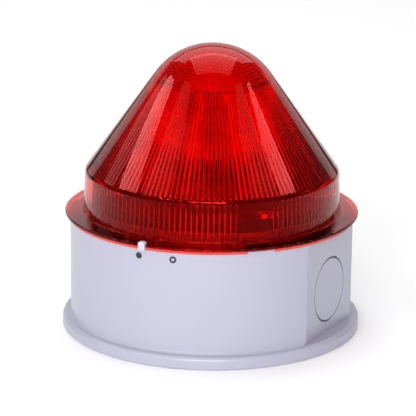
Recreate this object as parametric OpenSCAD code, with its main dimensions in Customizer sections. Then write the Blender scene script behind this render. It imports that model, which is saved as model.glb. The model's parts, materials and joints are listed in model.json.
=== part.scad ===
// Alarm siren: a sounder beacon with a round deep base and a conical bayonet lens.
// Millimetres. +Z is up, the origin is the centre of the mounting face, the side entry faces +X
// and the locking marks face -Y.

/* [Base] */
// Diameter of the mounting flange
flange_d = 96; // [94:0.5:100]
// Thickness of the mounting flange
flange_h = 4.1; // [3.5:0.1:5]
// Diameter of the round body of the base
body_d = 90.8; // [90:0.1:91.4]
// Height of the base's top deck above the mounting face
deck_z = 37.1; // [36.9:0.1:37.1]
// Wall thickness of the base
wall = 2.8; // [2.4:0.1:3]
// Distance of the side flats from the axis
flat_x = 42.6; // [42.2:0.1:43]
// Diameter of the round knock-out in each side flat
knockout_d = 20.5; // [16:0.5:20.5]
// Height of the knock-out's centre
knockout_z = 17.8; // [16:0.2:20]

/* [Fixings] */
// Circle on which the four wall-fixing holes lie
fixing_pcd = 56; // [54:1:58]
// Diameter of a wall-fixing hole
fixing_d = 5.2; // [4.2:0.1:5.5]
// Diameter of the cable entry through the back
rear_entry_d = 16; // [12:1:16]

/* [Lens] */
// Height of the whole beacon
top_z = 91.8; // [90:0.2:94]
// Wall thickness of the lens
lens_wall = 3; // [2.6:0.1:3.2]
// Diameter of the lens flange
lens_flange_d = 94; // [93:0.5:95]
// Diameter of the upright part of the lens at its foot
lens_d = 82.4; // [82.2:0.1:83]
// Diameter of the upright part of the lens at its shoulder
shoulder_d = 81.4; // [81:0.1:82]
// Radius of the domed tip
dome_r = 22.8; // [21:0.2:24]
// Angle between the axis and the cone's side
cone_angle = 35.6; // [34:0.2:37]
// Radius of the shoulder's outer edge
shoulder_round = 3; // [2.5:0.1:3.2]

/* [Bayonet] */
// Turn from locked to open, in degrees
lens_turn = 12; // [11:0.5:13]
// Angle of a bayonet lug from the line of the side entries
lug_angle = 41.7; // [40:0.5:44]
// Angle that one lug spans
lug_span = 9; // [8:0.5:9]
// Angle that one gap in the lens skirt spans
skirt_gap = 11; // [10:0.5:12]
// Angle of the lens tab at rest
tab_angle = -87.8; // [-90:0.2:-86]
// Angle of the filled mark on the base
lock_mark_angle = -90; // [-92:0.5:-89]
// Angle of the ring mark on the base
open_mark_angle = -75.8; // [-78:0.2:-74]

/* [Boards] */
// Thickness of both circuit boards
board_t = 1.6; // [1.2:0.1:1.6]
// Underside of the control board above the mounting face
control_z = 10; // [9:0.5:11]
// Diameter of the beacon board
beacon_board_d = 54; // [52:1:54]

/* [Sounder] */
// Diameter of the sounder case
sounder_d = 27; // [25:0.5:27]
// Height of the sounder's centre
sounder_z = 19; // [18:0.5:20]
// Width of a sound slot in the base wall
slot_w = 2; // [1.5:0.1:2.4]
// Travel of a tone lever
lever_travel = 1.2; // [1:0.1:1.4]

/* [Hidden] */
$fn = 96;
eps = 0.01;

// Base
flange_r = flange_d / 2;
body_r = body_d / 2;
floor_t = 3;
flange_round = 1.4;
flange_fillet = 1;
deck_t = 2.3;
deck_bottom = deck_z - deck_t;
neck_r = 35.5;
neck_inner_r = 33.3;
neck_top = 41;
groove_w = 0.6;
groove_depth = 1.7;
mark_depth = 0.4;
mark_proud = 0.08;
lock_mark_r = 1;
open_mark_r = 1.1;
open_mark_hole_r = 0.5;
mark_z = 34.1;
pilot_r = 1.1;
screw_r = 1.08;
seat_fit = 0.02;
boss_r = 3.2;
carrier_boss_r = 31;
carrier_boss_angles = [30, 150, 210, 330];
carrier_boss_bottom = 30;
rear_entry_y = -25;

// Bayonet
ledge_r = 37.7;
ledge_z = 39.1;
ledge_t = 1.5;
ledge_span = 14;
lug_inner_r = 35.9;
lug_z = 37.4;
lug_t = 1.4;
stop_r = 37.4;
stop_gap = 0.6;
stop_span = 1.5;
lug_angles = [lug_angle, 180 - lug_angle, 180 + lug_angle, 360 - lug_angle];

// Lens
lens_r = lens_d / 2;
shoulder_r = shoulder_d / 2;
lens_inner_r = lens_r - lens_wall;
shoulder_inner_r = shoulder_r - lens_wall;
lens_flange_r = lens_flange_d / 2;
lens_flange_z = 37.4;
lens_flange_t = 0.9;
skirt_inner_r = body_r + 0.3;
skirt_r = skirt_inner_r + 0.5;
skirt_z = 36.4;
dome_z = top_z - dome_r;
foot_round = 0.4;
tab_w = 2.2;
tab_r = lens_flange_r + 0.2;
tab_inner_r = skirt_inner_r;
tab_top = 39;

// Gasket, carrier
gasket_r = 41;
gasket_inner_r = 38.8;
gasket_z = 36.3;
gasket_top = 37.3;
carrier_r = 37.4;
carrier_t = 1.6;
carrier_rim_top = 44.2;
carrier_hole_r = 9.6;
post_r = 2.5;
post_circle_r = 23.5;
post_angles = [35, 145, 270];
post_len = 2;

// Boards
beacon_board_z = neck_top - post_len - board_t;
control_top = control_z + board_t;
control_l = 50;
control_w = 30;
control_hole_x = 21.5;
control_hole_y = 11.5;
tube_leg_x = 6;
tube_r = 2;
tube_bore_r = 1.4;
tube_bottom = 45;
tube_straight = 22;
tube_base_r = 7.6;

// Control parts
lever_pitch = 2.54;
lever_l = 1.4;
lever_w = 1;
lever_fit = 0.15;
switch_x = 2.6;
switch_y = -7;
switch_l = 11.7;
switch_w = 6.4;
switch_h = 4;
switch_recess = 1.4;
volume_x = 3.2;
volume_y = 6.5;
volume_size = 8;
volume_h = 4.6;
rotor_r = 2.9;
rotor_fit = 0.06;
terminal_x = 9.4;
terminal_ways = 5;
terminal_pitch = 5;
terminal_depth = 8.6;
terminal_h = 11;
header_x = -5;
header_rows = 5;
header_pitch = 2.54;

// Sounder
sounder_front = 38.4;
sounder_depth = 10;
gasket_t = 1;
ear_x = 16.6;
ear_hole_r = 1.3;
ear_y = 33;
ear_t = 2;

// ---------- shared shapes ----------

function arc(x, y, r, from, to, steps) =
    [for (i = [0:steps]) let (a = from + (to - from) * i / steps) [x + r * cos(a), y + r * sin(a)]];

// Height of the cone's surface at radius r, for a surface lying inset below the outer one
function cone_z(r, inset) =
    dome_z + (dome_r - inset - r * cos(cone_angle)) / sin(cone_angle);

module ring(outer, inner, h) {
    difference() {
        cylinder(r = outer, h = h);
        translate([0, 0, -1]) cylinder(r = inner, h = h + 2);
    }
}

// A slice of a ring, centred on an angle
module ring_sector(outer, inner, h, angle, span) {
    rotate([0, 0, angle - span / 2])
        rotate_extrude(angle = span)
            translate([inner, 0]) square([outer - inner, h]);
}

// A box with rounded vertical edges
module rounded_box(size, r) {
    translate([r, 0, 0]) cube([size[0] - 2 * r, size[1], size[2]]);
    translate([0, r, 0]) cube([size[0], size[1] - 2 * r, size[2]]);
    for (x = [r, size[0] - r], y = [r, size[1] - r])
        translate([x, y, 0]) cylinder(r = r, h = size[2], $fn = 32);
}

// Pan-head screw: the head's underside is at z = 0 and the shank points down
module screw(shank_r, length, head_r, head_h) {
    translate([0, 0, -length]) cylinder(r = shank_r, h = length + eps, $fn = 32);
    difference() {
        cylinder(r1 = head_r, r2 = head_r * 0.82, h = head_h, $fn = 32);
        for (a = [0, 90])
            rotate([0, 0, a])
                translate([-head_r * 0.55, -head_r * 0.13, head_h * 0.45])
                    cube([head_r * 1.1, head_r * 0.26, head_h]);
    }
}

// A wire as two straight runs with a round elbow: along -Y, then down
module bent_wire(x, y0, y1, z0, z1, r) {
    translate([x, y0, z0]) rotate([90, 0, 0]) cylinder(r = r, h = y0 - y1, $fn = 24);
    translate([x, y1, z0]) sphere(r = r, $fn = 24);
    translate([x, y1, z1]) cylinder(r = r, h = z0 - z1, $fn = 24);
}

module carrier_boss_places() {
    for (a = carrier_boss_angles)
        rotate([0, 0, a]) translate([carrier_boss_r, 0, 0]) children();
}

module board_post_places() {
    for (a = post_angles)
        rotate([0, 0, a]) translate([post_circle_r, 0, 0]) children();
}

module control_hole_places() {
    for (x = [-control_hole_x, control_hole_x], y = [-control_hole_y, control_hole_y])
        translate([x, y, 0]) children();
}

// ---------- base ----------

module base_outline() {
    polygon(concat(
        [[0, 0]],
        [[flange_r - 0.4, 0], [flange_r, 0.4]],
        arc(flange_r - flange_round, flange_h - flange_round, flange_round, 0, 90, 6),
        arc(body_r + flange_fillet, flange_h + flange_fillet, flange_fillet, 270, 180, 5),
        [[body_r, deck_z - 0.4], [body_r - 0.4, deck_z], [0, deck_z]]
    ));
}

module base_shell() {
    difference() {
        rotate_extrude($fn = 180) base_outline();
        // the two side flats
        for (side = [0, 180])
            rotate([0, 0, side])
                translate([flat_x, -body_r, flange_h])
                    cube([body_r, body_d, deck_z]);
        // hollow under the deck, with flat walls behind the flats
        intersection() {
            translate([0, 0, floor_t]) cylinder(r = body_r - wall, h = deck_bottom - floor_t);
            translate([wall - flat_x, -body_r, 0])
                cube([2 * (flat_x - wall), body_d, deck_z]);
        }
        // opening through the deck
        translate([0, 0, floor_t + 1]) cylinder(r = neck_inner_r, h = deck_z);
    }
}

module bayonet_ledges() {
    for (a = lug_angles) {
        translate([0, 0, ledge_z]) ring_sector(ledge_r, neck_r - 1, ledge_t, a, ledge_span);
        // end stop for the locked lens
        translate([0, 0, deck_z - 1])
            ring_sector(stop_r, neck_r - 1, ledge_z - deck_z + 1 + ledge_t / 2,
                a - lug_span / 2 - stop_gap - stop_span / 2, stop_span);
        // end stop for the opened lens
        translate([0, 0, deck_z - 1])
            ring_sector(stop_r, neck_r - 1, ledge_z - deck_z + 1,
                a + lens_turn + lug_span / 2 + stop_gap + stop_span / 2, stop_span);
    }
}

module sounder_seat() {
    // ring and two screw bosses that stand in from the rear wall
    intersection() {
        translate([0, body_r - 1, sounder_z]) rotate([90, 0, 0]) {
            difference() {
                cylinder(r = sounder_d / 2, h = body_r - 1 - sounder_front);
                translate([0, 0, -1]) cylinder(r = sounder_d / 2 - 2, h = body_r);
            }
            for (x = [-ear_x, ear_x])
                translate([x, 0, 0])
                    cylinder(r = 2.8, h = body_r - 1 - ear_y - ear_t, $fn = 48);
        }
        cylinder(r = body_r - 1, h = deck_z);
    }
}

module sound_slots() {
    for (x = [-8:4:8])
        let (half = sqrt(pow(sounder_d / 2 - 3.2, 2) - x * x))
            translate([x - slot_w / 2, sounder_front, sounder_z - half])
                cube([slot_w, body_r, 2 * half]);
}

module base_housing() {
    color("lavender") difference() {
        union() {
            base_shell();
            translate([0, 0, deck_bottom]) ring(neck_r, neck_inner_r, neck_top - deck_bottom);
            bayonet_ledges();
            carrier_boss_places()
                translate([0, 0, carrier_boss_bottom])
                    cylinder(r = boss_r, h = neck_top - carrier_boss_bottom, $fn = 48);
            control_hole_places()
                translate([0, 0, floor_t - 1])
                    cylinder(r = boss_r, h = control_z - floor_t + 1, $fn = 48);
            sounder_seat();
        }
        sound_slots();
        // round grooves that make the knock-outs
        for (side = [0, 180])
            rotate([0, 0, side])
                translate([flat_x - groove_depth, 0, knockout_z])
                    rotate([0, 90, 0])
                        ring(knockout_d / 2 + groove_w / 2, knockout_d / 2 - groove_w / 2, 5);
        // groove for the gasket
        translate([0, 0, gasket_z]) ring(gasket_r, gasket_inner_r, 5);
        // wall-fixing holes and the cable entry in the back
        for (a = [45:90:315])
            rotate([0, 0, a])
                translate([fixing_pcd / 2, 0, -1]) cylinder(r = fixing_d / 2, h = floor_t + 2);
        translate([0, rear_entry_y, -1]) cylinder(r = rear_entry_d / 2, h = floor_t + 2);
        // pilot holes
        carrier_boss_places()
            translate([0, 0, carrier_boss_bottom + 1])
                cylinder(r = pilot_r, h = neck_top, $fn = 32);
        control_hole_places()
            translate([0, 0, floor_t])
                cylinder(r = pilot_r, h = control_z, $fn = 32);
        for (x = [-ear_x, ear_x])
            translate([x, ear_y + ear_t - 1, sounder_z])
                rotate([-90, 0, 0]) cylinder(r = pilot_r, h = 7, $fn = 32);
        // pockets for the two marks
        lock_mark_shape();
        open_mark_shape();
    }
}

module lock_mark_shape() {
    rotate([0, 0, lock_mark_angle])
        translate([body_r - mark_depth, 0, mark_z])
            rotate([0, 90, 0])
                cylinder(r = lock_mark_r, h = mark_depth + mark_proud, $fn = 48);
}

module open_mark_shape() {
    rotate([0, 0, open_mark_angle])
        translate([body_r - mark_depth, 0, mark_z])
            rotate([0, 90, 0])
                ring(open_mark_r, open_mark_hole_r, mark_depth + mark_proud, $fn = 48);
}

module lock_mark() {
    color("darkslategray") lock_mark_shape();
}

module open_mark() {
    color("darkslategray") open_mark_shape();
}

module lens_gasket() {
    color("black")
        translate([0, 0, gasket_z])
            ring(gasket_r - seat_fit, gasket_inner_r + seat_fit, gasket_top - gasket_z);
}

// ---------- lens ----------

module lens_outline() {
    inner_round = 1;
    inner_dome_r = dome_r - lens_wall;
    polygon(concat(
        // outside, from the foot up
        [[lens_inner_r, lens_flange_z], [lens_flange_r - 0.2, lens_flange_z]],
        [[lens_flange_r, lens_flange_z + 0.2]],
        arc(lens_flange_r - foot_round, lens_flange_z + lens_flange_t - foot_round,
            foot_round, 0, 90, 3),
        arc(lens_r + foot_round, lens_flange_z + lens_flange_t + foot_round,
            foot_round, 270, 180, 3),
        arc(shoulder_r - shoulder_round, cone_z(shoulder_r - shoulder_round, shoulder_round),
            shoulder_round, 0, cone_angle, 5),
        arc(0, dome_z, dome_r, cone_angle, 90, 12),
        // inside, from the tip down
        arc(0, dome_z, inner_dome_r, 90, cone_angle, 12),
        arc(shoulder_inner_r - inner_round,
            cone_z(shoulder_inner_r - inner_round, lens_wall + inner_round),
            inner_round, cone_angle, 0, 3)
    ));
}

module tab_shape() {
    rotate([0, 0, tab_angle])
        translate([tab_inner_r, -tab_w / 2, skirt_z])
            cube([tab_r - tab_inner_r, tab_w, tab_top - skirt_z]);
}

module lens() {
    color([0.8, 0.02, 0.04, 0.6]) difference() {
        union() {
            rotate_extrude($fn = 180) lens_outline();
            // skirt, open over each bayonet lug
            difference() {
                translate([0, 0, skirt_z])
                    ring(skirt_r, skirt_inner_r, lens_flange_z - skirt_z + eps);
                for (a = lug_angles)
                    translate([0, 0, skirt_z - 1])
                        ring_sector(skirt_r + 1, skirt_inner_r - 1,
                            lens_flange_z - skirt_z + 1, a, skirt_gap);
            }
            for (a = lug_angles)
                translate([0, 0, lug_z])
                    ring_sector(lens_inner_r + 1, lug_inner_r, lug_t, a, lug_span);
        }
        tab_shape();
    }
}

module index_mark() {
    color("white")
        difference() {
            tab_shape();
            // the two upper corners are cut back
            rotate([0, 0, tab_angle])
                for (side = [-1, 1])
                    translate([tab_r, side * tab_w / 2, tab_top])
                        rotate([45, 0, 0]) cube([5, 0.5, 0.5], center = true);
        }
}

// ---------- beacon ----------

module beacon_carrier() {
    color("dimgray") difference() {
        union() {
            translate([0, 0, neck_top]) cylinder(r = carrier_r, h = carrier_t);
            translate([0, 0, neck_top])
                ring(carrier_r, carrier_r - 1.6, carrier_rim_top - neck_top);
            board_post_places()
                translate([0, 0, neck_top - post_len])
                    cylinder(r = post_r, h = post_len + 1, $fn = 48);
        }
        translate([0, 0, neck_top - 1]) cylinder(r = carrier_hole_r, h = carrier_t + 2);
        carrier_boss_places()
            translate([0, 0, neck_top - 1]) cylinder(r = 1.6, h = carrier_t + 2, $fn = 32);
        board_post_places()
            translate([0, 0, neck_top - post_len - 1])
                cylinder(r = pilot_r - 0.2, h = post_len + 1.8, $fn = 32);
    }
}

module carrier_screws() {
    color("silver")
        carrier_boss_places()
            translate([0, 0, neck_top + carrier_t]) screw(screw_r, 8, 2.7, 1.8);
}

module beacon_board() {
    color("darkgreen") difference() {
        translate([0, 0, beacon_board_z]) cylinder(r = beacon_board_d / 2, h = board_t);
        board_post_places()
            translate([0, 0, beacon_board_z - 1]) cylinder(r = 1.2, h = 4, $fn = 32);
    }
}

module board_screws() {
    color("silver")
        board_post_places()
            translate([0, 0, beacon_board_z]) rotate([180, 0, 0])
                screw(screw_r - 0.2, board_t + 1.8, 2.2, 1.4);
}

module tube_base() {
    color("white") difference() {
        union() {
            translate([0, 0, beacon_board_z + board_t])
                cylinder(r = tube_base_r, h = tube_bottom - beacon_board_z - board_t - 2);
            for (x = [-tube_leg_x, tube_leg_x])
                translate([x, 0, beacon_board_z + board_t])
                    cylinder(r = tube_r + 1.2, h = tube_bottom - beacon_board_z - board_t + 1.5,
                        $fn = 48);
        }
        for (x = [-tube_leg_x, tube_leg_x])
            translate([x, 0, tube_bottom - 1])
                cylinder(r = tube_r + seat_fit, h = 10, $fn = 48);
        for (x = [-tube_leg_x, tube_leg_x])
            translate([x, 0, beacon_board_z]) cylinder(r = 0.5, h = 10, $fn = 24);
    }
}

module tube_path(r) {
    translate([0, 0, tube_bottom + tube_straight - 1])
        rotate([90, 0, 0])
            rotate_extrude(angle = 180)
                translate([tube_leg_x, 0]) circle(r = r, $fn = 48);
}

module flash_tube() {
    color([0.9, 0.95, 1, 0.4]) difference() {
        union() {
            tube_path(tube_r);
            for (x = [-tube_leg_x, tube_leg_x])
                translate([x, 0, tube_bottom - 1]) cylinder(r = tube_r, h = tube_straight, $fn = 48);
        }
        tube_path(tube_bore_r);
        for (x = [-tube_leg_x, tube_leg_x])
            translate([x, 0, tube_bottom]) cylinder(r = tube_bore_r, h = tube_straight, $fn = 48);
        for (x = [-tube_leg_x, tube_leg_x])
            translate([x, 0, tube_bottom - 2]) cylinder(r = 0.5, h = 4, $fn = 24);
    }
}

module tube_electrodes() {
    color("silver")
        for (x = [-tube_leg_x, tube_leg_x])
            translate([x, 0, 0]) {
                translate([0, 0, beacon_board_z + board_t])
                    cylinder(r = 0.4, h = tube_bottom + 2 - beacon_board_z - board_t, $fn = 24);
                translate([0, 0, tube_bottom + 2]) cylinder(r = 1, h = 3.5, $fn = 32);
            }
}

module trigger_wire() {
    turns = 4;
    color("darkgray") {
        for (x = [-tube_leg_x, tube_leg_x], i = [0:turns - 1])
            translate([x, 0, tube_bottom + 7 + i * 3.6])
                rotate_extrude($fn = 48) translate([tube_r + 0.2 + seat_fit, 0]) circle(r = 0.2, $fn = 16);
        // straight run that joins the turns on each leg
        for (x = [-tube_leg_x, tube_leg_x])
            translate([x, -tube_r - 0.2 - seat_fit, tube_bottom + 3])
                cylinder(r = 0.2, h = 4 + (turns - 1) * 3.6, $fn = 16);
    }
}

module storage_capacitor() {
    can_r = 6.2;
    can_l = 22;
    color("midnightblue")
        translate([-can_l / 2, -14.4, beacon_board_z - can_r])
            rotate([0, 90, 0]) {
                cylinder(r = can_r, h = 2);
                translate([0, 0, 2]) cylinder(r = can_r - 0.4, h = 1);
                translate([0, 0, 3]) cylinder(r = can_r, h = can_l - 3);
            }
}

module inverter_core() {
    color("dimgray") difference() {
        translate([1, 2.5, beacon_board_z - 12.5]) cube([14, 6, 12.5]);
        // the two windows that hold the winding
        for (z = [2.2, 8])
            translate([3, 1.5, beacon_board_z - 12.5 + z]) cube([10, 8, 2.4]);
    }
}

module inverter_winding() {
    color("goldenrod") difference() {
        translate([3.1, 0.6, beacon_board_z - 12.5 + 2.3]) cube([9.8, 9.8, 8]);
        translate([2, 2.4, beacon_board_z - 12.5 + 4.5]) cube([12, 6.2, 3.6]);
    }
}

module trigger_coil() {
    color("saddlebrown")
        translate([-14.5, 2, beacon_board_z]) rotate([180, 0, 0]) {
            cylinder(r = 3.4, h = 1.2, $fn = 48);
            translate([0, 0, 1.2]) cylinder(r = 2.7, h = 6.6, $fn = 48);
            translate([0, 0, 7.8]) cylinder(r = 3.4, h = 1.2, $fn = 48);
        }
}

module switching_transistor() {
    color("dimgray")
        translate([-18, -7.6, beacon_board_z - 2.4]) {
            rounded_box([6.6, 6, 2.4], 0.3);
            for (y = [0.8, 4.4])
                translate([-1.6, y, 1.6]) cube([1.7, 0.8, 0.8]);
        }
}

module chip(size, pins, pitch) {
    translate([-size[0] / 2, -size[1] / 2, 0.2]) cube([size[0], size[1], size[2] - 0.2]);
    for (i = [0:pins - 1], side = [-1, 1])
        translate([(i - (pins - 1) / 2) * pitch - 0.2,
                   side > 0 ? size[1] / 2 - eps : -size[1] / 2 - 0.9, 0])
            cube([0.4, 0.9 + eps, 0.5]);
}

module timer_chip() {
    color("black")
        translate([19, -4, beacon_board_z]) rotate([180, 0, 0]) chip([5, 3.9, 1.6], 4, 1.27);
}

module beacon_resistors() {
    color("black")
        for (i = [0:3])
            translate([-22.5 + i * 2.6, 7.2, beacon_board_z - 0.6]) cube([1.6, 3.2, 0.6]);
}

module stacking_header() {
    color("black")
        translate([header_x - 2.5, -header_pitch * header_rows / 2, beacon_board_z - 2.5])
            difference() {
                cube([5, header_pitch * header_rows, 2.5]);
                header_grid(0.35, -1, 5);
            }
}

// Square pins or holes on the header's grid, relative to the header's corner
module header_grid(half, z, h) {
    for (i = [0:header_rows - 1], x = [1.23, 3.77])
        translate([x - half, header_pitch * (i + 0.5) - half, z]) cube([2 * half, 2 * half, h]);
}

module header_pins() {
    pin_bottom = control_top + 1;
    color("gold")
        translate([header_x - 2.5, -header_pitch * header_rows / 2, 0])
            header_grid(0.33, pin_bottom, beacon_board_z - pin_bottom);
}

module stacking_socket() {
    color("black")
        translate([header_x - 2.5, -header_pitch * header_rows / 2, control_top])
            difference() {
                cube([5, header_pitch * header_rows, 8.5]);
                header_grid(0.4, 0.9, 9);
            }
}

// ---------- control board ----------

module control_board() {
    color("darkgreen") difference() {
        translate([-control_l / 2, -control_w / 2, control_z])
            rounded_box([control_l, control_w, board_t], 2);
        control_hole_places() translate([0, 0, control_z - 1]) cylinder(r = 1.3, h = 4, $fn = 32);
    }
}

module control_screws() {
    color("silver")
        control_hole_places() translate([0, 0, control_top]) screw(screw_r, 7, 2.3, 1.6);
}

module terminal_block() {
    length = terminal_ways * terminal_pitch;
    color("forestgreen")
        translate([terminal_x, -length / 2, control_top]) difference() {
            union() {
                cube([terminal_depth, length, terminal_h - 3]);
                // raised part that carries the screws
                cube([terminal_depth - 2.6, length, terminal_h]);
            }
            for (i = [0:terminal_ways - 1])
                translate([0, (i + 0.5) * terminal_pitch, 0]) {
                    // wire entry
                    translate([1.6, -1.8, 1.6]) cube([10, 3.6, 4.4]);
                    // screw well
                    translate([3.2, 0, 3]) cylinder(r = 1.7, h = 10, $fn = 32);
                }
        }
}

module terminal_clamps() {
    length = terminal_ways * terminal_pitch;
    color("silver")
        translate([terminal_x, -length / 2, control_top])
            for (i = [0:terminal_ways - 1])
                translate([1.7, (i + 0.5) * terminal_pitch - 1.7, 1.7])
                    difference() {
                        cube([3.2, 3.4, 4.2]);
                        translate([-1, 0.6, 0.6]) cube([6, 2.2, 2.4]);
                    }
}

module terminal_screws() {
    length = terminal_ways * terminal_pitch;
    color("silver")
        translate([terminal_x + 3.2, -length / 2, control_top + 6])
            for (i = [0:terminal_ways - 1])
                translate([0, (i + 0.5) * terminal_pitch, 0])
                    difference() {
                        cylinder(r = 1.55, h = 2.6, $fn = 32);
                        translate([-2, -0.25, 1.9]) cube([4, 0.5, 1]);
                    }
}

module tone_switch() {
    slot_l = lever_l + lever_travel + 2 * lever_fit;
    slot_y = lever_w + 2 * lever_fit;
    color("crimson")
        translate([switch_x - switch_w / 2, switch_y - switch_l / 2, control_top])
            difference() {
                cube([switch_w, switch_l, switch_h]);
                for (i = [0:3])
                    translate([(switch_w - slot_l) / 2,
                               switch_l / 2 + (i - 1.5) * lever_pitch - slot_y / 2,
                               switch_h - switch_recess])
                        cube([slot_l, slot_y, switch_recess + 1]);
            }
}

// One lever at its off end: it slides towards +X
module tone_lever(i) {
    slot_l = lever_l + lever_travel + 2 * lever_fit;
    color("white")
        translate([switch_x - slot_l / 2 + lever_fit,
                   switch_y + (i - 1.5) * lever_pitch - lever_w / 2,
                   control_top + switch_h - switch_recess + 0.05])
            cube([lever_l, lever_w, switch_recess + 0.45]);
}

module tone_lever_1() {
    tone_lever(0);
}

module tone_lever_2() {
    tone_lever(1);
}

module tone_lever_3() {
    tone_lever(2);
}

module tone_lever_4() {
    tone_lever(3);
}

module volume_body() {
    color("steelblue")
        translate([volume_x, volume_y, control_top]) difference() {
            translate([-volume_size / 2, -volume_size / 2, 0])
                rounded_box([volume_size, volume_size, volume_h], 0.6);
            translate([0, 0, 1.2]) cylinder(r = rotor_r + rotor_fit, h = volume_h);
        }
}

module volume_rotor() {
    color("white")
        translate([volume_x, volume_y, control_top + 1.25]) difference() {
            cylinder(r = rotor_r, h = volume_h - 1.25 + 0.2);
            // screwdriver slot and a pointer at one end of it
            translate([-2.1, -0.4, volume_h - 2.2]) cube([4.2, 0.8, 3]);
            translate([1.2, -0.9, volume_h - 2.2]) cube([1, 1.8, 3]);
        }
}

module tone_chip() {
    color("black")
        translate([-13.5, -8.5, control_top]) chip([8.7, 3.9, 1.6], 7, 1.27);
}

module booster_coil() {
    color("saddlebrown")
        translate([-14, 1.5, control_top]) {
            cylinder(r = 4.3, h = 1.2);
            translate([0, 0, 1.2]) cylinder(r = 3.3, h = 6.2);
            translate([0, 0, 7.4]) cylinder(r = 4.3, h = 1.2);
        }
}

module filter_capacitors() {
    color("midnightblue")
        for (y = [-3.6, 3.6])
            translate([-21.3, y, control_top]) {
                cylinder(r = 3.1, h = 1.4);
                translate([0, 0, 1.4]) cylinder(r = 2.85, h = 0.8);
                translate([0, 0, 2.2]) cylinder(r = 3.1, h = 8.4);
            }
}

module input_diodes() {
    color("dimgray")
        for (i = [0:3])
            translate([-14.6 + i * 3.4, 8.6, control_top]) cube([2.2, 4.4, 1.6]);
}

module control_resistors() {
    color("black")
        for (i = [0:3])
            translate([-12 + i * 2.4, -13.6, control_top]) cube([1.3, 2, 0.5]);
}

// ---------- sounder ----------

module sounder_case() {
    case_r = sounder_d / 2;
    front = sounder_front - gasket_t;
    color("black") difference() {
        union() {
            translate([0, front, sounder_z])
                rotate([90, 0, 0]) cylinder(r = case_r, h = sounder_depth);
            // ears
            translate([-ear_x - 3, ear_y, sounder_z - 3.2]) cube([2 * ear_x + 6, ear_t, 6.4]);
        }
        // chamber in front of the disc, and its round mouth
        translate([0, front + 1, sounder_z])
            rotate([90, 0, 0]) cylinder(r = case_r - 3, h = 5);
        // chamber behind the disc
        translate([0, front - 4.4, sounder_z])
            rotate([90, 0, 0]) cylinder(r = case_r - 3, h = 3.6);
        // seat that grips the disc's edge
        translate([0, front - 4 + 0.01, sounder_z])
            rotate([90, 0, 0]) cylinder(r = case_r - 2, h = 0.42);
        for (x = [-ear_x, ear_x])
            translate([x, ear_y - 1, sounder_z])
                rotate([-90, 0, 0]) cylinder(r = ear_hole_r, h = ear_t + 2, $fn = 32);
    }
}

module sounder_disc() {
    front = sounder_front - gasket_t;
    color("gold") {
        translate([0, front - 4, sounder_z])
            rotate([90, 0, 0]) cylinder(r = sounder_d / 2 - 2.02, h = 0.38);
        // ceramic layer on the disc's back
        translate([0, front - 4.38, sounder_z])
            rotate([90, 0, 0]) cylinder(r = sounder_d / 2 - 5, h = 0.3);
    }
}

module sounder_gasket() {
    color("dimgray")
        translate([0, sounder_front, sounder_z])
            rotate([90, 0, 0]) ring(sounder_d / 2, sounder_d / 2 - 2, gasket_t);
}

module sounder_screws() {
    color("silver")
        for (x = [-ear_x, ear_x])
            translate([x, ear_y, sounder_z]) rotate([90, 0, 0]) screw(screw_r, 6.5, 2.3, 1.6);
}

module sounder_wires() {
    back = sounder_front - gasket_t - sounder_depth;
    color("firebrick")
        for (x = [1, 3.6])
            bent_wire(x, back, 13.6, sounder_z - 4, control_top, 0.6);
}

base_housing();
lock_mark();
open_mark();
lens_gasket();
lens();
index_mark();
beacon_carrier();
carrier_screws();
beacon_board();
board_screws();
tube_base();
flash_tube();
tube_electrodes();
trigger_wire();
storage_capacitor();
inverter_core();
inverter_winding();
trigger_coil();
switching_transistor();
timer_chip();
beacon_resistors();
stacking_header();
header_pins();
stacking_socket();
control_board();
control_screws();
terminal_block();
terminal_screws();
terminal_clamps();
tone_switch();
tone_lever_1();
tone_lever_2();
tone_lever_3();
tone_lever_4();
volume_body();
volume_rotor();
tone_chip();
booster_coil();
filter_capacitors();
input_diodes();
control_resistors();
sounder_case();
sounder_disc();
sounder_gasket();
sounder_screws();
sounder_wires();
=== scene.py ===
"""Looks for the alarm siren: ribbed red lens, lens skirt, materials, camera and light."""

import json
import math

import bpy
import numpy as np
from mathutils import Matrix, Vector


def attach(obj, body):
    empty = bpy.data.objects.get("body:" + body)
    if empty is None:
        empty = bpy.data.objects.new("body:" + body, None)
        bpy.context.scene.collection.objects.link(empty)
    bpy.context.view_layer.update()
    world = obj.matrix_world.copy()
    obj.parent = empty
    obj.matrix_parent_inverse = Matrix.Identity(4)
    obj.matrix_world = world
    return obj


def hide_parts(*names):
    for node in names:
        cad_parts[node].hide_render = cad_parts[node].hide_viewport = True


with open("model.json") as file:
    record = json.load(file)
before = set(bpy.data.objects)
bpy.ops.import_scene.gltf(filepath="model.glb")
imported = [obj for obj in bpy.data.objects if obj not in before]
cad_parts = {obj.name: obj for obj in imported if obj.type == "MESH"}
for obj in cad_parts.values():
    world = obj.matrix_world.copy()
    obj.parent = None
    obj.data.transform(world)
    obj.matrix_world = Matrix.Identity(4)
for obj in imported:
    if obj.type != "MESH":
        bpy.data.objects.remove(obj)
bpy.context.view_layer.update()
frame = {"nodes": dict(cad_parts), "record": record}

MM = 0.001
LENS_BODY = "lens"


# ---------- camera, light and floor ----------

CAMERA_AZIMUTH = math.radians(29)
CAMERA_ELEVATION = math.radians(14.95)
CAMERA_DISTANCE = 0.6861
CAMERA_ROLL = math.radians(0.6)
CAMERA_LENS = 185.4
ORBIT_HEIGHT = 0.05
AIM_HEIGHT = 0.038
AIM_LEFT = 0.0012


def direction(azimuth, elevation):
    """From the beacon to a place round it, in radians. Azimuth 0 is in front of the marks."""
    return Vector((
        math.sin(azimuth) * math.cos(elevation),
        -math.cos(azimuth) * math.cos(elevation),
        math.sin(elevation),
    ))


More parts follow.
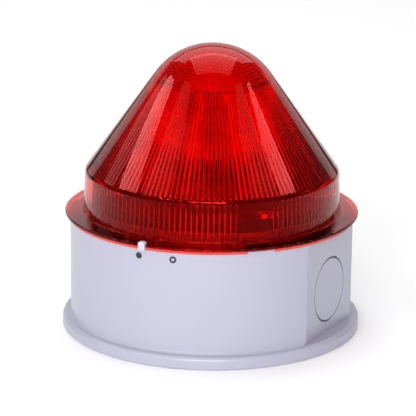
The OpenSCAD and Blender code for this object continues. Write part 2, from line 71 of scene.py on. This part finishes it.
def make_camera():
    """The camera stands front right of the marks and looks slightly down at the beacon."""
    back = direction(CAMERA_AZIMUTH, CAMERA_ELEVATION)
    right = Vector((math.cos(CAMERA_AZIMUTH), math.sin(CAMERA_AZIMUTH), 0))
    place = Vector((0, 0, ORBIT_HEIGHT)) + back * CAMERA_DISTANCE
    aim = Vector((0, 0, AIM_HEIGHT)) - right * AIM_LEFT
    data = bpy.data.cameras.new("camera")
    data.lens = CAMERA_LENS
    data.sensor_width = 36
    data.clip_start = 0.01
    data.clip_end = 50
    camera = bpy.data.objects.new("camera", data)
    bpy.context.collection.objects.link(camera)
    turn = (aim - place).to_track_quat("-Z", "Y").to_matrix().to_4x4()
    roll = Matrix.Rotation(CAMERA_ROLL, 4, "Z")
    camera.matrix_world = Matrix.Translation(place) @ turn @ roll
    bpy.context.scene.camera = camera


# Name, azimuth and elevation in degrees, width and height in metres, power in watts
SOFT_BOXES = (
    ("front_box", 4, 42, (1.8, 0.55), 2.6),
    ("low_front_box", 25, 16, (0.7, 0.35), 11.0),
    ("spark_box", -10, 24, (0.4, 0.1), 2.4),
    ("near_left_box", -34, 44, (0.4, 0.4), 0.8),
    ("left_box", -70, 35, (0.6, 0.2), 2.0),
    ("far_left_box", -88, 26, (0.4, 0.2), 0.2),
    ("near_right_box", 89, 44, (0.4, 0.4), 0.9),
    ("right_box", 112, 40, (0.28, 0.2), 1.1),
    ("overhead_box", 209, 76, (1.0, 1.0), 6.8),
    ("back_box", 209, 45, (1.3, 0.6), 3.4),
    ("backdrop_box", 209, 15, (2.2, 0.5), 2.2),
)
BOX_DISTANCE = 1.2
BOX_AIM_HEIGHT = 0.045
ROOM_LIGHT = 0.08
FLOOR_HALF = 4.0


def soft_box(name, azimuth, elevation, size, power):
    """A white area light that faces the beacon. Its angles are in degrees."""
    back = direction(math.radians(azimuth), math.radians(elevation))
    data = bpy.data.lights.new(name, "AREA")
    data.shape = "RECTANGLE"
    data.size, data.size_y = size
    data.energy = power
    light = bpy.data.objects.new(name, data)
    light.matrix_world = (
        Matrix.Translation(Vector((0, 0, BOX_AIM_HEIGHT)) + back * BOX_DISTANCE)
        @ back.to_track_quat("Z", "Y").to_matrix().to_4x4()
    )
    bpy.context.collection.objects.link(light)


def make_studio():
    """An even white room, the soft boxes and plain colours."""
    world = bpy.data.worlds.new("studio")
    bpy.context.scene.world = world
    world.use_nodes = True
    background = world.node_tree.nodes["Background"]
    background.inputs["Color"].default_value = (1, 1, 1, 1)
    background.inputs["Strength"].default_value = ROOM_LIGHT
    for row in SOFT_BOXES:
        soft_box(*row)
    scene = bpy.context.scene
    scene.view_settings.view_transform = "Standard"
    scene.view_settings.look = "None"


def make_floor():
    """A plain pale floor, staged so that it isn't part of the siren."""
    half = FLOOR_HALF
    mesh = bpy.data.meshes.new("floor")
    corners = [(-half, -half, 0), (half, -half, 0), (half, half, 0), (-half, half, 0)]
    mesh.from_pydata(corners, [], [(0, 1, 2, 3)])
    floor = bpy.data.objects.new("floor", mesh)
    bpy.context.collection.objects.link(floor)
    surface = Surface("floor_paper", (0.96, 0.96, 0.962), roughness=0.9)
    surface.mottle(scale=4, amount=0.004)
    mesh.materials.append(surface.material)


# ---------- materials ----------

NOISE_DETAIL = 3.0
NOISE_RANGE = (0.3, 0.7)
# Places of the colour sockets on a Mix node, where several sockets have the same name
MIX_FACTOR, MIX_A, MIX_B, MIX_RESULT = 0, 6, 7, 2


class Surface:
    """A node-based material: a Principled shader with uneven colour, roughness and bump."""

    def __init__(self, name, colour, roughness, metallic=0.0, ior=1.5):
        self.material = bpy.data.materials.new(name)
        self.material.use_nodes = True
        self.tree = self.material.node_tree
        self.shader = self.tree.nodes["Principled BSDF"]
        self.colour = colour
        self.roughness = roughness
        self.set("Base Color", (*colour, 1))
        self.set("Roughness", roughness)
        self.set("Metallic", metallic)
        self.set("IOR", ior)

    def set(self, socket, value):
        self.shader.inputs[socket].default_value = value

    def node(self, kind, **values):
        made = self.tree.nodes.new(kind)
        for key, value in values.items():
            setattr(made, key, value)
        return made

    def link(self, output, socket):
        self.tree.links.new(output, socket)

    def position(self):
        return self.node("ShaderNodeTexCoord").outputs["Object"]

    def noise(self, scale, stretch=(1, 1, 1)):
        """Noise in the object's own space. scale is in turns per metre."""
        mapping = self.node("ShaderNodeMapping")
        mapping.inputs["Scale"].default_value = stretch
        self.link(self.position(), mapping.inputs["Vector"])
        noise = self.node("ShaderNodeTexNoise")
        noise.inputs["Scale"].default_value = scale
        noise.inputs["Detail"].default_value = NOISE_DETAIL
        self.link(mapping.outputs["Vector"], noise.inputs["Vector"])
        return noise.outputs["Fac"]

    def spread(self, fac, low, high):
        """Maps a noise value onto a range."""
        ranged = self.node("ShaderNodeMapRange")
        for socket, value in zip(
            ("From Min", "From Max", "To Min", "To Max"), (*NOISE_RANGE, low, high)
        ):
            ranged.inputs[socket].default_value = value
        self.link(fac, ranged.inputs["Value"])
        return ranged.outputs["Result"]

    def mottle(self, scale, amount):
        """Lets the colour drift by a share of itself."""
        mix = self.node("ShaderNodeMix", data_type="RGBA")
        dark = [c * (1 - amount) for c in self.colour]
        light = [min(1, c * (1 + amount)) for c in self.colour]
        mix.inputs[MIX_A].default_value = (*dark, 1)
        mix.inputs[MIX_B].default_value = (*light, 1)
        self.link(self.spread(self.noise(scale), 0, 1), mix.inputs[MIX_FACTOR])
        self.link(mix.outputs[MIX_RESULT], self.shader.inputs["Base Color"])
        return self

    def uneven(self, scale, amount, stretch=(1, 1, 1)):
        """Lets the roughness drift."""
        fac = self.noise(scale, stretch)
        low, high = max(0, self.roughness - amount), self.roughness + amount
        self.link(self.spread(fac, low, high), self.shader.inputs["Roughness"])
        return self

    def bump(self, scale, depth):
        """A bump of the given depth in metres."""
        bump = self.node("ShaderNodeBump")
        bump.inputs["Strength"].default_value = 1
        bump.inputs["Distance"].default_value = depth
        self.link(self.noise(scale), bump.inputs["Height"])
        self.link(bump.outputs["Normal"], self.shader.inputs["Normal"])
        return self


# The dye in the lens: what each colour keeps, and how strongly it takes the rest, per metre
DYE_COLOUR = (0.993, 0.05, 0.06)
DYE_DENSITY = 2800


def base_plastic():
    surface = Surface("base_plastic", (0.39, 0.383, 0.48), roughness=0.36)
    surface.mottle(60, 0.012).uneven(300, 0.05).bump(2600, 0.000012)
    surface.set("Coat Weight", 0.25)
    surface.set("Coat Roughness", 0.18)
    return surface.material


def lens_plastic():
    surface = Surface("lens_plastic", (1, 1, 1), roughness=0.03, ior=1.52)
    surface.set("Transmission Weight", 1.0)
    surface.set("Specular Tint", (1.0, 0.045, 0.04, 1))
    surface.uneven(140, 0.012)
    dye = surface.node("ShaderNodeVolumeAbsorption")
    dye.inputs["Color"].default_value = (*DYE_COLOUR, 1)
    dye.inputs["Density"].default_value = DYE_DENSITY
    surface.link(dye.outputs["Volume"], surface.tree.nodes["Material Output"].inputs["Volume"])
    return surface.material


def skirt_painted_light():
    """The lens's plastic where it is thin, with painted light: its bright orange colour stands
    in for the light that shines through the thin red skirt, and a share of 0.35 is real
    transmission.
    """
    # Painted light: this orange base colour stands in for light shining through the thin skirt
    # from behind.
    surface = Surface("skirt_painted_light", (0.93, 0.055, 0.03), roughness=0.2, ior=1.52)
    surface.mottle(120, 0.02).uneven(200, 0.05)
    surface.set("Transmission Weight", 0.35)
    return surface.material


def moulded(name, colour, roughness=0.45, grain=0.00002):
    surface = Surface(name, colour, roughness)
    return surface.mottle(150, 0.05).uneven(400, 0.06).bump(1800, grain).material


def rubber(name, colour):
    surface = Surface(name, colour, roughness=0.75)
    return surface.mottle(200, 0.12).bump(2200, 0.00003).material


def metal(name, colour, roughness):
    surface = Surface(name, colour, roughness, metallic=1.0)
    return surface.mottle(700, 0.05).uneven(900, 0.08, (1, 1, 4)).bump(3000, 0.000006).material


def circuit_board():
    """Green solder resist with slightly raised straight tracks under it."""
    surface = Surface("circuit_board", (0.012, 0.11, 0.05), roughness=0.3)
    brick = surface.node("ShaderNodeTexBrick")
    brick.inputs["Scale"].default_value = 180
    brick.inputs["Mortar Size"].default_value = 0.12
    brick.inputs["Color1"].default_value = (0.012, 0.11, 0.05, 1)
    brick.inputs["Color2"].default_value = (0.015, 0.13, 0.06, 1)
    brick.inputs["Mortar"].default_value = (0.03, 0.2, 0.09, 1)
    surface.link(surface.position(), brick.inputs["Vector"])
    surface.link(brick.outputs["Color"], surface.shader.inputs["Base Color"])
    surface.uneven(500, 0.08)
    surface.set("Coat Weight", 0.4)
    return surface.material


def tube_glass():
    surface = Surface("tube_glass", (0.95, 0.97, 1.0), roughness=0.02, ior=1.47)
    surface.set("Transmission Weight", 1.0)
    surface.uneven(300, 0.01)
    return surface.material


def winding(name):
    """Enamelled copper wire: fine turns as bands."""
    surface = Surface(name, (0.45, 0.13, 0.035), roughness=0.32, metallic=0.8)
    wave = surface.node("ShaderNodeTexWave", wave_type="BANDS", bands_direction="Z")
    wave.inputs["Scale"].default_value = 600
    surface.link(surface.position(), wave.inputs["Vector"])
    bump = surface.node("ShaderNodeBump")
    bump.inputs["Distance"].default_value = 0.0001
    surface.link(wave.outputs["Fac"], bump.inputs["Height"])
    surface.link(bump.outputs["Normal"], surface.shader.inputs["Normal"])
    return surface.mottle(500, 0.15).material


def give_materials():
    """Every CAD node gets the finish of its slot."""
    by_slot = {
        "base_plastic": base_plastic(),
        "mark_ink": moulded("mark_ink", (0.016, 0.022, 0.036), 0.6),
        "black_rubber": rubber("black_rubber", (0.02, 0.02, 0.021)),
        "red_lens": lens_plastic(),
        "white_plastic": moulded("white_plastic", (0.52, 0.49, 0.57), 0.35),
        "dark_plastic": moulded("dark_plastic", (0.03, 0.03, 0.033), 0.5),
        "screw_steel": metal("screw_steel", (0.62, 0.62, 0.64), 0.32),
        "board": circuit_board(),
        "tube_glass": tube_glass(),
        "bright_metal": metal("bright_metal", (0.75, 0.74, 0.71), 0.25),
        "capacitor_sleeve": moulded("capacitor_sleeve", (0.015, 0.02, 0.09), 0.25),
        "ferrite": moulded("ferrite", (0.05, 0.05, 0.055), 0.6, 0.00004),
        "copper_winding": winding("copper_winding"),
        "chip_black": moulded("chip_black", (0.018, 0.018, 0.02), 0.55),
        "contact_gold": metal("contact_gold", (0.8, 0.58, 0.22), 0.25),
        "terminal_green": moulded("terminal_green", (0.02, 0.22, 0.06), 0.35),
        "switch_red": moulded("switch_red", (0.5, 0.012, 0.012), 0.35),
        "trimmer_blue": moulded("trimmer_blue", (0.02, 0.09, 0.42), 0.35),
        "disc_brass": metal("disc_brass", (0.72, 0.52, 0.22), 0.28),
        "wire_red": moulded("wire_red", (0.5, 0.015, 0.015), 0.4),
    }
    for row in frame["record"]["subparts"]:
        node = frame["nodes"][row["node"]]
        node.data.materials.clear()
        node.data.materials.append(by_slot[row["material_slot"]])
    return by_slot


# ---------- revolved skins ----------

SHARP_ANGLE = math.radians(40)


def arc(x, y, radius, start, end, steps):
    """Points on an arc, as (radius, height) pairs. Angles are in degrees."""
    turns = [math.radians(start + (end - start) * i / steps) for i in range(steps + 1)]
    return [(x + radius * math.cos(t), y + radius * math.sin(t)) for t in turns]


def revolve(name, rings, steps, material, hoop=False):
    """A closed skin from one pole to the other, or a hoop that closes on itself. A ring is
    (radius, height), and each of the two may be an array with a value for every step round
    the axis. Sizes are in millimetres."""
    angle = np.arange(steps) * 2 * math.pi / steps
    turn = np.stack((np.cos(angle), np.sin(angle)), 1)
    points, rows = [], []
    count = 0
    for radius, height in rings:
        if np.max(radius) == 0:
            points.append(np.array([[0, 0, np.max(height)]]))
            rows.append(np.full(steps, count))
            count += 1
            continue
        flat = turn * np.broadcast_to(radius, steps)[:, None]
        points.append(np.column_stack((flat, np.broadcast_to(height, steps))))
        rows.append(np.arange(steps) + count)
        count += steps
    faces = []
    following = rows[1:] + rows[:1] if hoop else rows[1:]
    for upper, lower in zip(rows, following):
        a, b = upper, np.roll(upper, -1)
        c, d = np.roll(lower, -1), lower
        if upper[0] == upper[-1]:
            faces += np.column_stack((a, d, c)).tolist()
        elif lower[0] == lower[-1]:
            faces += np.column_stack((a, d, b)).tolist()
        else:
            faces += np.column_stack((a, d, c, b)).tolist()
    mesh = bpy.data.meshes.new(name)
    mesh.from_pydata((np.vstack(points) * MM).tolist(), [], faces)
    mesh.validate()
    mesh.polygons.foreach_set("use_smooth", [True] * len(mesh.polygons))
    mesh.set_sharp_from_angle(angle=SHARP_ANGLE)
    mesh.materials.append(material)
    piece = bpy.data.objects.new(name, mesh)
    bpy.context.collection.objects.link(piece)
    return piece


# ---------- lens ----------

# Sizes are in millimetres and angles in degrees. These are the CAD's own.
LENS_TOP = 91.8
LENS_WALL = 3.0
DOME_R = 22.8
DOME_Z = LENS_TOP - DOME_R
CONE_ANGLE = 35.6
LENS_FOOT_R = 41.2
FOOT_ROUND = 0.5
SHOULDER_R = 40.7
SHOULDER_ROUND = 3.0
FLANGE_R = 47.0
FLANGE_BOTTOM = 37.4
FLANGE_TOP = 38.3
FLANGE_ROUND = 0.35
FLANGE_CHAMFER = 0.15
SKIRT_R = 46.2
SKIRT_INNER_R = 45.7
SKIRT_BOTTOM = 36.4
SKIRT_GAP = 11.0
LUG_INNER_R = 35.9
LUG_TOP = 38.8
LUG_ANGLE = 41.7
LUG_SPAN = 9.0
TAB_ANGLE = -87.8
TAB_W = 2.2
TAB_R = 47.2

# The ribs and rings inside the lens, which the CAD leaves plain
RIBS = 144
STEPS_PER_RIB = 10
LENS_STEPS = RIBS * STEPS_PER_RIB
RIB_DEPTH = 0.8
WALL_RIB_DEPTH = 0.45
PLAIN_SPAN = 15.4  # the plain windows over the bayonet lugs
RIB_START = 0.1  # from the wall's foot
RIB_END = 0.7  # from the dome
WALL_TOP_DROP = 0.5  # from the cone's inner surface
DOME_RINGS = 16
STEPS_PER_RING = 8
RING_DEPTH = 0.07
RING_START = 1.5  # from the cone's edge, in degrees

# Small roundings and clearances of the skins
INSIDE_ROUND = 0.6
INSIDE_FOOT = 0.2
LUG_FOOT = 0.1
LUG_CHAMFER = 0.05
SKIRT_CLEARANCE = 0.02
SKIRT_ROUND = 0.1
GAP_ROUND = 0.01
GAP_THICKNESS = 0.04
TAB_INNER_R = 45.75
TAB_MARGIN = 0.12  # beside the tab, in degrees

# Share of the way along the ribs, and the share of their full depth that they have there
WALL_RIB_ROWS = ((0.02, 0.6), (0.06, 1), (0.5, 1), (0.94, 1), (0.98, 0.6), (1, 0))
CONE_RIB_ROWS = (
    (0, 0), (0.002, 0.4), (0.006, 0.65), (0.012, 0.85), (0.02, 0.96), (0.03, 1),
    (0.35, 1), (0.65, 1), (0.97, 1), (0.985, 0.9), (0.995, 0.55), (1, 0),
)


def cone_height(radius, inset):
    """Height of the cone's surface at a radius, for a skin lying inset below the outer one."""
    a = math.radians(CONE_ANGLE)
    return DOME_Z + (DOME_R - inset - radius * math.cos(a)) / math.sin(a)


def near_lugs(span):
    """1 where a step lies within span degrees centred on a bayonet lug, otherwise 0."""
    angle = np.arange(LENS_STEPS) * 360 / LENS_STEPS
    inside = np.zeros(LENS_STEPS)
    for lug in (LUG_ANGLE, 180 - LUG_ANGLE, 180 + LUG_ANGLE, 360 - LUG_ANGLE):
        inside[np.abs(angle - lug) <= span / 2] = 1
    return inside


def tab_notch(radius):
    """A radius that is cut back to the tab's inner face where the tab stands."""
    angle = np.arange(LENS_STEPS) * 360 / LENS_STEPS
    half = math.degrees(TAB_W / 2 / TAB_R) + TAB_MARGIN
    inside = np.abs((angle - TAB_ANGLE + 180) % 360 - 180) <= half + 180 / LENS_STEPS
    return np.where(inside, np.minimum(radius, TAB_INNER_R), radius)


def lens_outside():
    """The dome, cone, shoulder, upright wall and flange, from the top down."""
    dome = arc(0, DOME_Z, DOME_R, 90, CONE_ANGLE, 28)
    dome[0] = (0, LENS_TOP)
    centre = SHOULDER_R - SHOULDER_ROUND
    centre_z = cone_height(centre, SHOULDER_ROUND)
    shoulder = arc(centre, centre_z, SHOULDER_ROUND, CONE_ANGLE, 0, 10)
    foot = arc(LENS_FOOT_R + FOOT_ROUND, FLANGE_TOP + FOOT_ROUND, FOOT_ROUND, 180, 270, 5)
    edge = arc(FLANGE_R - FLANGE_ROUND, FLANGE_TOP - FLANGE_ROUND, FLANGE_ROUND, 90, 0, 5)
    edge += [
        (FLANGE_R, FLANGE_BOTTOM + FLANGE_CHAMFER),
        (FLANGE_R - FLANGE_CHAMFER, FLANGE_BOTTOM),
    ]
    return dome + shoulder + foot + [(tab_notch(radius), height) for radius, height in edge]


def lens_underside():
    """The inner edge under the flange, which steps inwards at the bayonet lugs."""
    inner = LENS_FOOT_R - LENS_WALL
    lug_r = inner - near_lugs(LUG_SPAN) * (inner - LUG_INNER_R)
    rise = near_lugs(PLAIN_SPAN) * (LUG_TOP - FLANGE_BOTTOM - LUG_FOOT)
    lug_top = FLANGE_BOTTOM + LUG_FOOT + rise
    return [
        (lug_r, FLANGE_BOTTOM),
        (lug_r, lug_top - LUG_CHAMFER),
        (lug_r + LUG_CHAMFER, lug_top),
    ]


def lens_skirt():
    """The thin skirt below the flange, cut back to the flange at the four gaps."""
    gap = near_lugs(SKIRT_GAP)
    top = FLANGE_BOTTOM - SKIRT_CLEARANCE
    bottom = SKIRT_BOTTOM + gap * (top - GAP_THICKNESS - SKIRT_BOTTOM)
    soft = SKIRT_ROUND * (1 - gap) + GAP_ROUND
    outer = tab_notch(SKIRT_R) - SKIRT_CLEARANCE
    return [
        (SKIRT_INNER_R, top),
        (outer, top),
        (outer, bottom + soft),
        (outer - soft, bottom),
        (SKIRT_INNER_R + soft, bottom),
        (SKIRT_INNER_R, bottom + soft),
    ]


def half_round(across):
    """Depth of the groove at a share of the way across a half-round rib."""
    return 1 - np.sqrt(np.maximum(0, 1 - (2 * across - 1) ** 2))


def rib_wave():
    """Depth of the groove beside each rib, from 0 on a rib's crest to 1 between two ribs."""
    return half_round(np.arange(LENS_STEPS) % STEPS_PER_RIB / STEPS_PER_RIB)


def ribbed_wall():
    """The inside of the upright wall, from its foot up. It is plain over the bayonet lugs."""
    plain = near_lugs(PLAIN_SPAN)
    wave = rib_wave() * (1 - plain)
    foot_r = LENS_FOOT_R - LENS_WALL
    shoulder_r = SHOULDER_R - LENS_WALL
    top = cone_height(shoulder_r, LENS_WALL) - WALL_TOP_DROP
    foot = FLANGE_BOTTOM + INSIDE_FOOT + plain * (LUG_TOP - FLANGE_BOTTOM)
    rings = [(np.full(LENS_STEPS, foot_r), foot)]
    for share, depth in WALL_RIB_ROWS:
        height = foot + RIB_START + (top - foot - RIB_START) * share
        radius = foot_r + (shoulder_r - foot_r) * share + wave * WALL_RIB_DEPTH * depth
        rings.append((radius, height))
    return rings


def ribbed_cone():
    """The inside of the shoulder and the cone, from the shoulder up. The ribs are cut along
    the cone's normal and grow narrower towards the dome."""
    a = math.radians(CONE_ANGLE)
    centre = SHOULDER_R - LENS_WALL - INSIDE_ROUND
    centre_z = cone_height(centre, LENS_WALL + INSIDE_ROUND)
    rings = arc(centre, centre_z, INSIDE_ROUND, 0, CONE_ANGLE, 5)
    start_r = centre + INSIDE_ROUND * math.cos(a)
    end_r = (DOME_R - LENS_WALL) * math.cos(a) + RIB_END
    for share, depth in CONE_RIB_ROWS:
        radius = start_r + (end_r - start_r) * share
        groove = rib_wave() * RIB_DEPTH * depth * radius / (LENS_FOOT_R - LENS_WALL)
        height = cone_height(radius, LENS_WALL)
        rings.append((radius + groove * math.cos(a), height + groove * math.sin(a)))
    return rings


def ringed_dome():
    """The inside of the dome with its concentric rings, up to the pole."""
    rings = []
    start = CONE_ANGLE + RING_START
    count = DOME_RINGS * STEPS_PER_RING
    for i in range(count):
        polar = math.radians(start + (90 - start) * i / count)
        r = DOME_R - LENS_WALL + RING_DEPTH * half_round(i % STEPS_PER_RING / STEPS_PER_RING)
        rings.append((r * math.cos(polar), DOME_Z + r * math.sin(polar)))
    pole = DOME_R - LENS_WALL + RING_DEPTH * half_round(0)
    return rings + [(0, DOME_Z + pole)]


def make_lens(material):
    """The lens's two skins. Both ride with the CAD lens and stand for it."""
    inside = ribbed_wall() + ribbed_cone() + ringed_dome()
    rings = lens_outside() + lens_underside() + inside
    lens = revolve("ribbed_lens", rings, LENS_STEPS, material)
    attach(lens, LENS_BODY)
    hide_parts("lens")
    # The skirt's material carries painted light: an orange colour in place of light shining
    # through it.
    skirt = revolve("lens_skirt", lens_skirt(), LENS_STEPS, skirt_painted_light(), hoop=True)
    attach(skirt, LENS_BODY)
    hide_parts("lens")


# ---------- everything ----------

make_camera()
make_studio()
slots = give_materials()
make_floor()
make_lens(slots["red_lens"])
